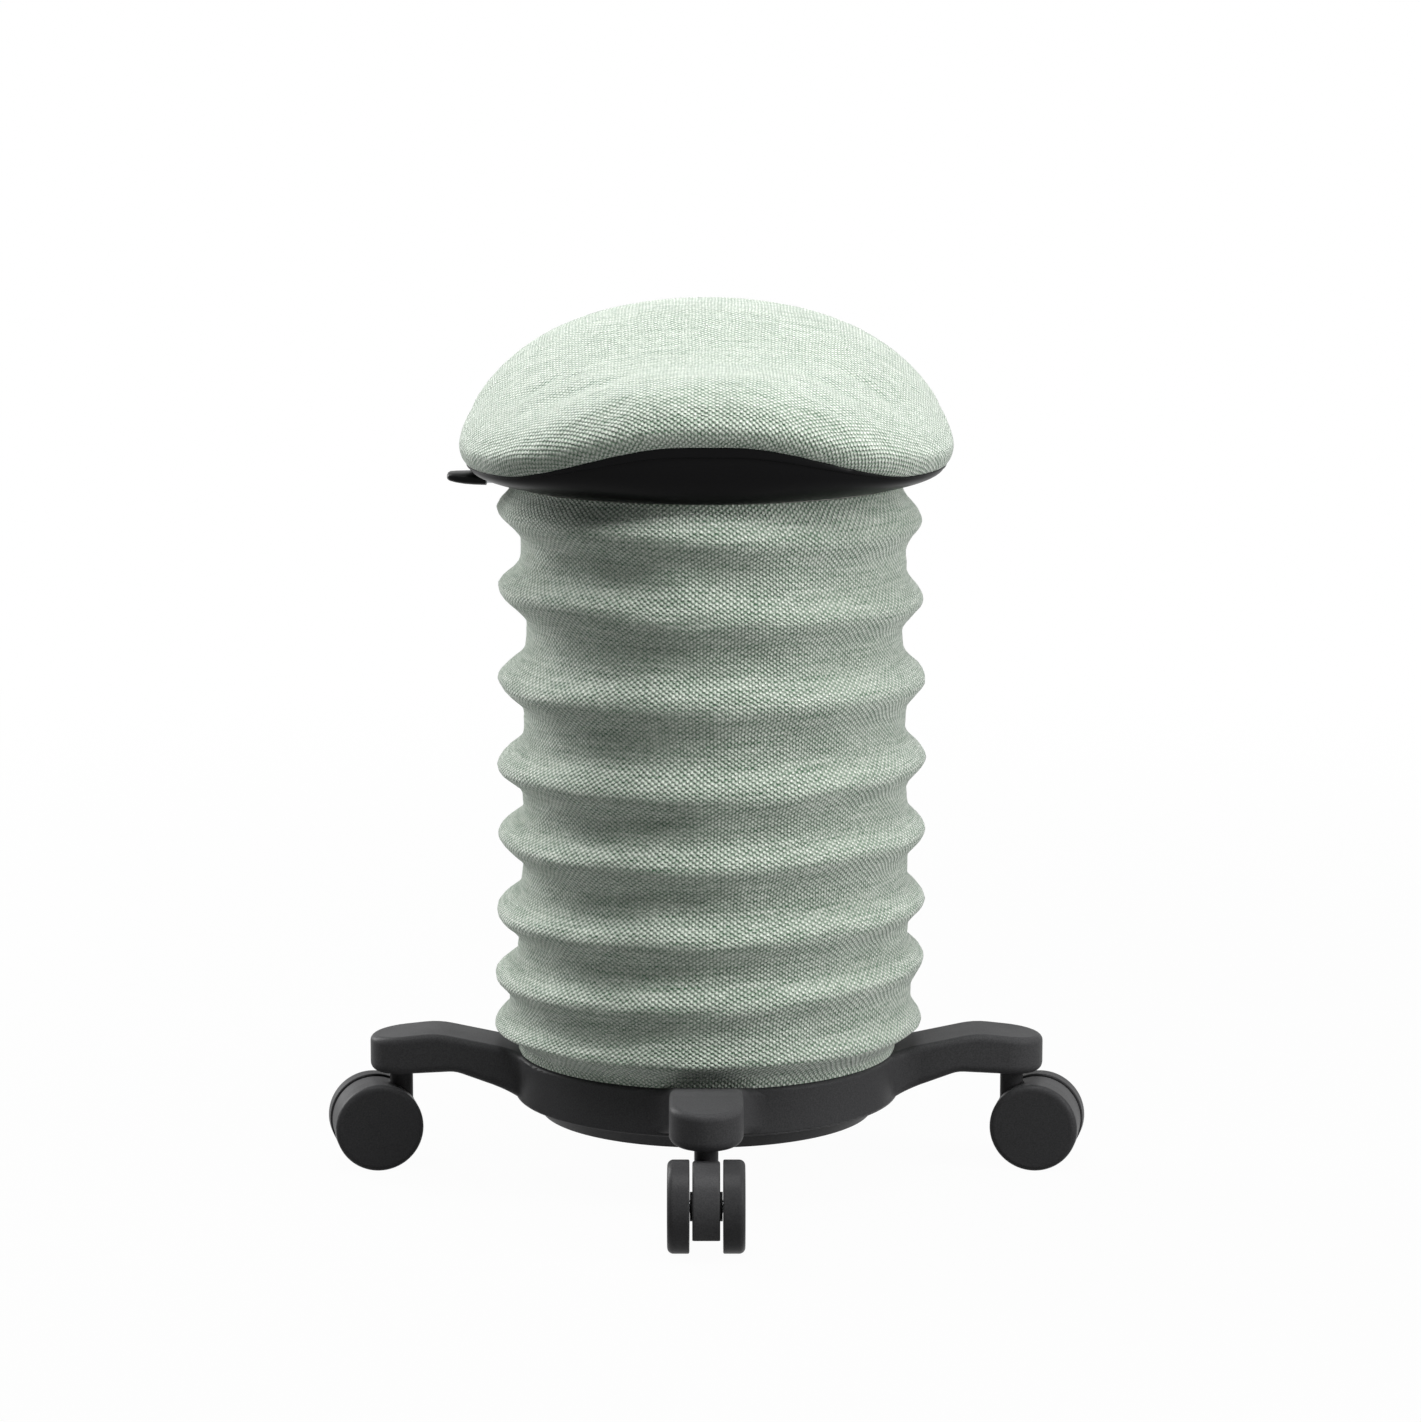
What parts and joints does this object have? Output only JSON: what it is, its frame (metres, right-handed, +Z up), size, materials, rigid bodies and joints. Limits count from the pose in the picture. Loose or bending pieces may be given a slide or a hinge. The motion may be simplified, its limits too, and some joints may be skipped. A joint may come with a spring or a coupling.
{
  "type": "office stool",
  "caption": "Office stool with a sage-green saddle seat, a fabric bellows sleeve round its gas lift and a dark star base on twin-wheel casters",
  "frame": {"origin": "on the floor under the column's axis, which is the middle of the bounding box's bottom", "axes": "+Z up, the seat's low front edge faces -Y, the lever is on the -X side"},
  "size_m": [0.5204, 0.514, 0.5886],
  "materials": {
    "sage_fabric": "melange stretch knit",
    "cushion_foam": "open-cell foam",
    "shell_plastic": "moulded with a fine grain",
    "base_plastic": "moulded with a fine grain",
    "caster_plastic": "smooth moulded",
    "wheel_plastic": "satin moulded",
    "bush_plastic": "natural acetal",
    "steel": "plain turned steel",
    "black_steel": "powder coated",
    "plywood": "raw birch"
  },
  "bodies": {
    "base": {"base_star": "base_plastic", "under_cover": "base_plastic", "under_cover_screws": "steel", "caster_sockets": "bush_plastic", "column_tube": "black_steel", "guide_bush": "bush_plastic", "thrust_race_lower": "steel"},
    "swivel": {"thrust_race_upper": "steel", "thrust_ball_cage": "steel", "piston_rod": "steel", "rod_clip": "steel", "piston": "bush_plastic", "sleeve": "sage_fabric", "sleeve_hoops": "steel", "sleeve_lower_ring": "bush_plastic"},
    "seat": {"gas_cylinder": "black_steel", "rod_seal": "bush_plastic", "seat_bracket": "black_steel", "bracket_screws": "steel", "seat_shell": "shell_plastic", "shell_screws": "steel", "seat_board": "plywood", "seat_foam": "cushion_foam", "seat_cover": "sage_fabric", "sleeve_upper_ring": "bush_plastic", "lever_pin": "steel"},
    "lever": {"lever_bar": "steel", "lever_paddle": "shell_plastic"},
    "valve": {"valve_pin": "steel"},
    "caster_front": {"caster_front_housing": "caster_plastic", "caster_front_stem": "steel", "caster_front_grip_ring": "steel", "caster_front_axle": "steel"},
    "caster_front_wheel_a_roll": {"caster_front_wheel_a": "wheel_plastic"},
    "caster_front_wheel_b_roll": {"caster_front_wheel_b": "wheel_plastic"},
    "caster_right": {"caster_right_housing": "caster_plastic", "caster_right_stem": "steel", "caster_right_grip_ring": "steel", "caster_right_axle": "steel"},
    "caster_right_wheel_a_roll": {"caster_right_wheel_a": "wheel_plastic"},
    "caster_right_wheel_b_roll": {"caster_right_wheel_b": "wheel_plastic"},
    "caster_back": {"caster_back_housing": "caster_plastic", "caster_back_stem": "steel", "caster_back_grip_ring": "steel", "caster_back_axle": "steel"},
    "caster_back_wheel_a_roll": {"caster_back_wheel_a": "wheel_plastic"},
    "caster_back_wheel_b_roll": {"caster_back_wheel_b": "wheel_plastic"},
    "caster_left": {"caster_left_housing": "caster_plastic", "caster_left_stem": "steel", "caster_left_grip_ring": "steel", "caster_left_axle": "steel"},
    "caster_left_wheel_a_roll": {"caster_left_wheel_a": "wheel_plastic"},
    "caster_left_wheel_b_roll": {"caster_left_wheel_b": "wheel_plastic"}
  },
  "joints": [
    {"name": "seat_swivel", "type": "hinge", "parent": "base", "child": "swivel", "pos_m": [0, 0, 0.053], "axis": [0, 0, 1], "continuous": true},
    {"name": "seat_lift", "type": "slide", "parent": "swivel", "child": "seat", "axis": [0, 0, 1], "range_m": [-0.06, 0.05], "deforming": ["sleeve", "sleeve_hoops"]},
    {"name": "lever_lift", "type": "hinge", "parent": "seat", "child": "lever", "pos_m": [-0.06, 0, 0.4794], "axis": [0, 1, 0], "range_deg": [0, 2], "stiffness_Nm_per_rad": 1.5, "springref_deg": -5.73},
    {"name": "valve_press", "type": "slide", "parent": "seat", "child": "valve", "axis": [0, 0, -1], "range_m": [0, 0.0021]},
    {"name": "caster_front_swivel", "type": "hinge", "parent": "base", "child": "caster_front", "pos_m": [0, -0.209, 0.064], "axis": [0, 0, 1], "continuous": true},
    {"name": "caster_front_wheel_a_spin", "type": "hinge", "parent": "caster_front", "child": "caster_front_wheel_a_roll", "pos_m": [0, -0.227, 0.03], "axis": [1, 0, 0], "continuous": true},
    {"name": "caster_front_wheel_b_spin", "type": "hinge", "parent": "caster_front", "child": "caster_front_wheel_b_roll", "pos_m": [0, -0.227, 0.03], "axis": [1, 0, 0], "continuous": true},
    {"name": "caster_right_swivel", "type": "hinge", "parent": "base", "child": "caster_right", "pos_m": [0.209, 0, 0.064], "axis": [0, 0, 1], "continuous": true},
    {"name": "caster_right_wheel_a_spin", "type": "hinge", "parent": "caster_right", "child": "caster_right_wheel_a_roll", "pos_m": [0.22667, -0.00344, 0.03], "axis": [0.1908, 0.9816, 0], "continuous": true},
    {"name": "caster_right_wheel_b_spin", "type": "hinge", "parent": "caster_right", "child": "caster_right_wheel_b_roll", "pos_m": [0.22667, -0.00344, 0.03], "axis": [0.1908, 0.9816, 0], "continuous": true},
    {"name": "caster_back_swivel", "type": "hinge", "parent": "base", "child": "caster_back", "pos_m": [0, 0.209, 0.064], "axis": [0, 0, 1], "continuous": true},
    {"name": "caster_back_wheel_a_spin", "type": "hinge", "parent": "caster_back", "child": "caster_back_wheel_a_roll", "pos_m": [0, 0.227, 0.03], "axis": [-1, 0, 0], "continuous": true},
    {"name": "caster_back_wheel_b_spin", "type": "hinge", "parent": "caster_back", "child": "caster_back_wheel_b_roll", "pos_m": [0, 0.227, 0.03], "axis": [-1, 0, 0], "continuous": true},
    {"name": "caster_left_swivel", "type": "hinge", "parent": "base", "child": "caster_left", "pos_m": [-0.209, 0, 0.064], "axis": [0, 0, 1], "continuous": true},
    {"name": "caster_left_wheel_a_spin", "type": "hinge", "parent": "caster_left", "child": "caster_left_wheel_a_roll", "pos_m": [-0.22667, -0.00344, 0.03], "axis": [0.1908, -0.9816, 0], "continuous": true},
    {"name": "caster_left_wheel_b_spin", "type": "hinge", "parent": "caster_left", "child": "caster_left_wheel_b_roll", "pos_m": [-0.22667, -0.00344, 0.03], "axis": [0.1908, -0.9816, 0], "continuous": true}
  ],
  "couplings": [
    {"joint": "valve_press", "follows": "lever_lift", "m_per_rad": 0.06}
  ]
}
